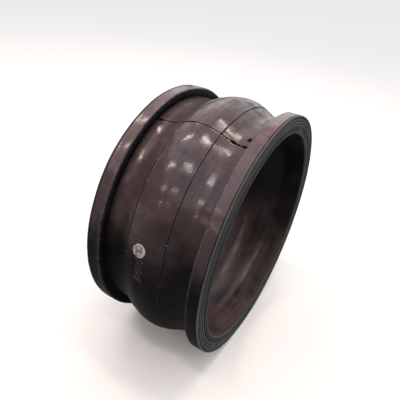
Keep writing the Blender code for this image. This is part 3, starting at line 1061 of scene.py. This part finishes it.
def make_repeated_marks(disc_angle, disc_x):
    nib_tree = make_nib_tree()
    for side, letter, zone in ((-1, "a", 1), (1, "b", 3)):
        line = side * MOULD_LINE
        nibs = run_tree("vent_nibs_" + letter, nib_tree, {
            "Count": NIBS, "Pitch": 2 * math.pi / NIBS, "First Angle": math.radians(102.7 + 4.0 * side),
            "Radius": float(cover_radius(line)) + 0.0003, "Axis Height": AXIS_HEIGHT, "Along": line + 0.0008,
            "Width": 0.0018, "Length": 0.0046, "Height": 0.0012, "Rubbed": 0.2,
            "Look": LOOKS["cover_rubber"]})
        finish_piece(nibs, "cover_rubber")
        blend_in_zone(nibs)
    ticks = run_tree("raised_ticks", make_tick_tree(), {
        "Count": 7, "Pitch": math.radians(1.45), "First Angle": disc_angle + math.radians(3.9),
        "Radius": CROWN_RADIUS - 0.0001, "Axis Height": AXIS_HEIGHT, "Along": disc_x + 0.006,
        "Width": 0.0042, "Length": 0.032, "Height": 0.0030, "Slant": math.radians(-16), "Rubbed": 0.45,
        "Look": LOOKS["cover_rubber"]})
    finish_piece(ticks, "cover_rubber")
    blend_in_zone(ticks)


# ---------------- camera, light and floor

def make_camera():
    """The view: seen from the front right and above, leaning a little to one side."""
    azimuth, elevation, lean = math.radians(28.03), math.radians(32.10), math.radians(6.68)
    distance = 3.478 * RIM_RADIUS
    aim_right, aim_up = -0.123 * RIM_RADIUS, 0.119 * RIM_RADIUS
    back = Vector((math.sin(azimuth) * math.cos(elevation), -math.cos(azimuth) * math.cos(elevation),
                   math.sin(elevation)))
    right = Vector((math.cos(azimuth), math.sin(azimuth), 0.0))
    up = back.cross(right)
    centre = Vector((0.0, 0.0, AXIS_HEIGHT))
    data = bpy.data.cameras.new("camera")
    data.sensor_width = 36.0
    data.lens = 36.41
    camera = new_object("camera", data)
    turned_right = right * math.cos(lean) + up * math.sin(lean)
    turned_up = up * math.cos(lean) - right * math.sin(lean)
    axes = Matrix((turned_right, turned_up, back)).transposed().to_4x4()
    place = centre + back * distance + right * aim_right + up * aim_up
    camera.matrix_world = Matrix.Translation(place) @ axes
    bpy.context.scene.camera = camera


def add_softbox(name, place, width, height, power, aim=None):
    """A rectangular light that faces straight down, or towards a point."""
    data = bpy.data.lights.new(name, "AREA")
    data.shape = "RECTANGLE"
    data.size, data.size_y = width, height
    data.energy = power
    light = new_object(name, data)
    light.location = place
    if aim:
        direction = Vector(aim) - Vector(place)
        light.rotation_euler = direction.to_track_quat("-Z", "Y").to_euler()
    return light


AIR_LIGHT = 0.16                     # how bright the air is as a light, and as a pale backdrop
AIR_SEEN = 0.95
FLOOR_DIP = 0.020
FLOOR_REACH = 40.0
LAMP_ROWS = ((0.45, (1.56, 0.05, -1.66, -3.80, -6.40)),     # place along the pipe, places across it
             (-2.30, (0.20, -1.80, -4.05, -6.70)))
LAMP_HEIGHT = 4.0
LAMP_POWER = 27.0


def make_floor():
    """A plain floor that dips a little under the arch, to stay out of it when the joint sags."""
    near = np.linspace(-0.26, 0.26, 53)
    lines = np.concatenate([[-FLOOR_REACH], near, [FLOOR_REACH]])
    x, y = np.meshgrid(lines, lines, indexing="ij")
    flat_x = smoothstep(np.abs(x), 0.060, ARCH_HALF)
    flat_y = smoothstep(np.abs(y), 0.090, 0.210)
    z = -FLOOR_DIP * (1.0 - flat_x) * (1.0 - flat_y)
    count = len(lines)
    i, j = np.meshgrid(np.arange(count - 1), np.arange(count - 1), indexing="ij")
    corner = i * count + j
    quads = np.stack([corner, corner + count, corner + count + 1, corner + 1], axis=-1).reshape(-1, 4)
    mesh = bpy.data.meshes.new("studio_floor")
    mesh.from_pydata(np.stack([x, y, z], axis=-1).reshape(-1, 3).tolist(), [], quads.tolist())
    mesh.shade_smooth()
    floor = new_object("studio_floor", mesh)
    pale, _, shader = new_material("pale_floor", specular=0.2)
    shader.inputs["Base Color"].default_value = (0.74, 0.74, 0.74, 1.0)
    shader.inputs["Roughness"].default_value = 0.75
    mesh.materials.append(pale)


def make_studio():
    """A wide soft sun, rows of narrow lamps overhead, a softbox behind, and pale air."""
    sun_data = bpy.data.lights.new("soft_sun", "SUN")
    sun_data.energy = 3.25
    sun_data.angle = math.radians(150)
    sun = new_object("soft_sun", sun_data)
    sun.rotation_euler = (math.radians(-20), math.radians(16), 0.0)

    for number, (along, places) in enumerate(LAMP_ROWS, 1):
        for k, across in enumerate(places, 1):
            place = (along, across, LAMP_HEIGHT)
            lamp = add_softbox("lamp_%d_%d" % (number, k), place, 1.3, 0.08, LAMP_POWER)
            lamp.data.color = (1.0, 0.80, 0.70)
    back = add_softbox("back_softbox", (-1.7, 3.7, 3.1), 3.0, 1.7, 11.0, aim=(0.0, 0.0, AXIS_HEIGHT))
    back.data.color = (1.0, 0.92, 0.96)

    world = bpy.data.worlds.new("studio_air")
    world.use_nodes = True
    tree = world.node_tree
    camera_ray = tree.nodes.new("ShaderNodeLightPath").outputs["Is Camera Ray"]
    seen = new_node(tree, "ShaderNodeMapRange", ("Value", camera_ray), ("To Min", AIR_LIGHT),
                    ("To Max", AIR_SEEN))
    background = tree.nodes["Background"].inputs
    background["Color"].default_value = (0.95, 0.96, 0.97, 1.0)
    tree.links.new(seen.outputs["Result"], background["Strength"])
    bpy.context.scene.world = world
    bpy.context.scene.view_settings.view_transform = "Standard"


make_camera()
make_floor()
make_studio()
make_arch()
make_ends()
disc_angle, disc_x = make_identity_disc()
make_repeated_marks(disc_angle, disc_x)
